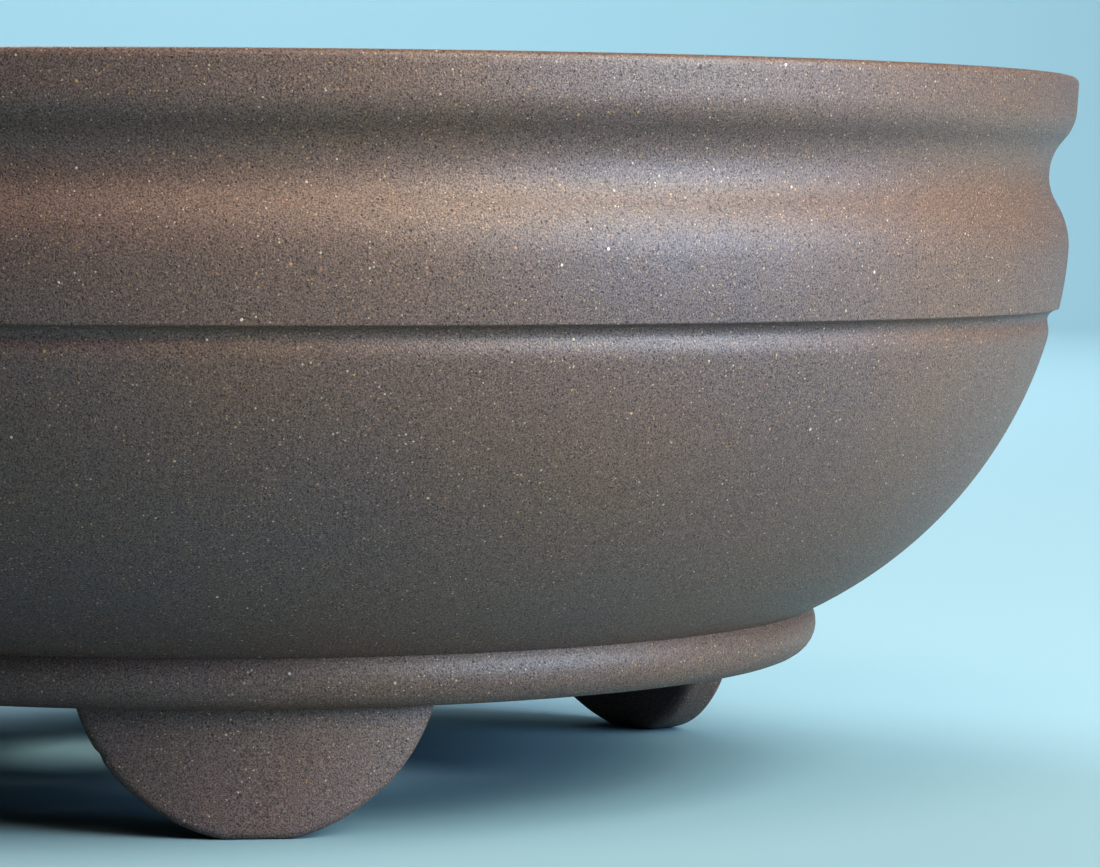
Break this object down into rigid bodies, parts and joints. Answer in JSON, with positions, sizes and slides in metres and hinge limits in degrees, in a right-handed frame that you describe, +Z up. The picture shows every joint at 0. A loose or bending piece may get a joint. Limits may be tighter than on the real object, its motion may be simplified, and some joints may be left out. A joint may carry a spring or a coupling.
{
  "type": "bonsai pot",
  "caption": "Round unglazed stoneware bonsai pot with a rolled lip, hollow neck, raised belt, coil foot ring and three low feet.",
  "frame": {"origin": "on the pot's axis, at the surface it stands on", "axes": "+Z up along the pot's axis; the front foot is at -Y"},
  "size_m": [0.19, 0.19, 0.0776],
  "materials": {
    "stoneware": "matt, unglazed, fine sandy grain"
  },
  "bodies": {
    "root": {"bowl_wall": "stoneware", "floor_slab": "stoneware", "belt_ring": "stoneware", "neck_ring": "stoneware", "rim_lip": "stoneware", "foot_ring": "stoneware", "foot_front": "stoneware", "foot_right": "stoneware", "foot_left": "stoneware"}
  },
  "joints": []
}
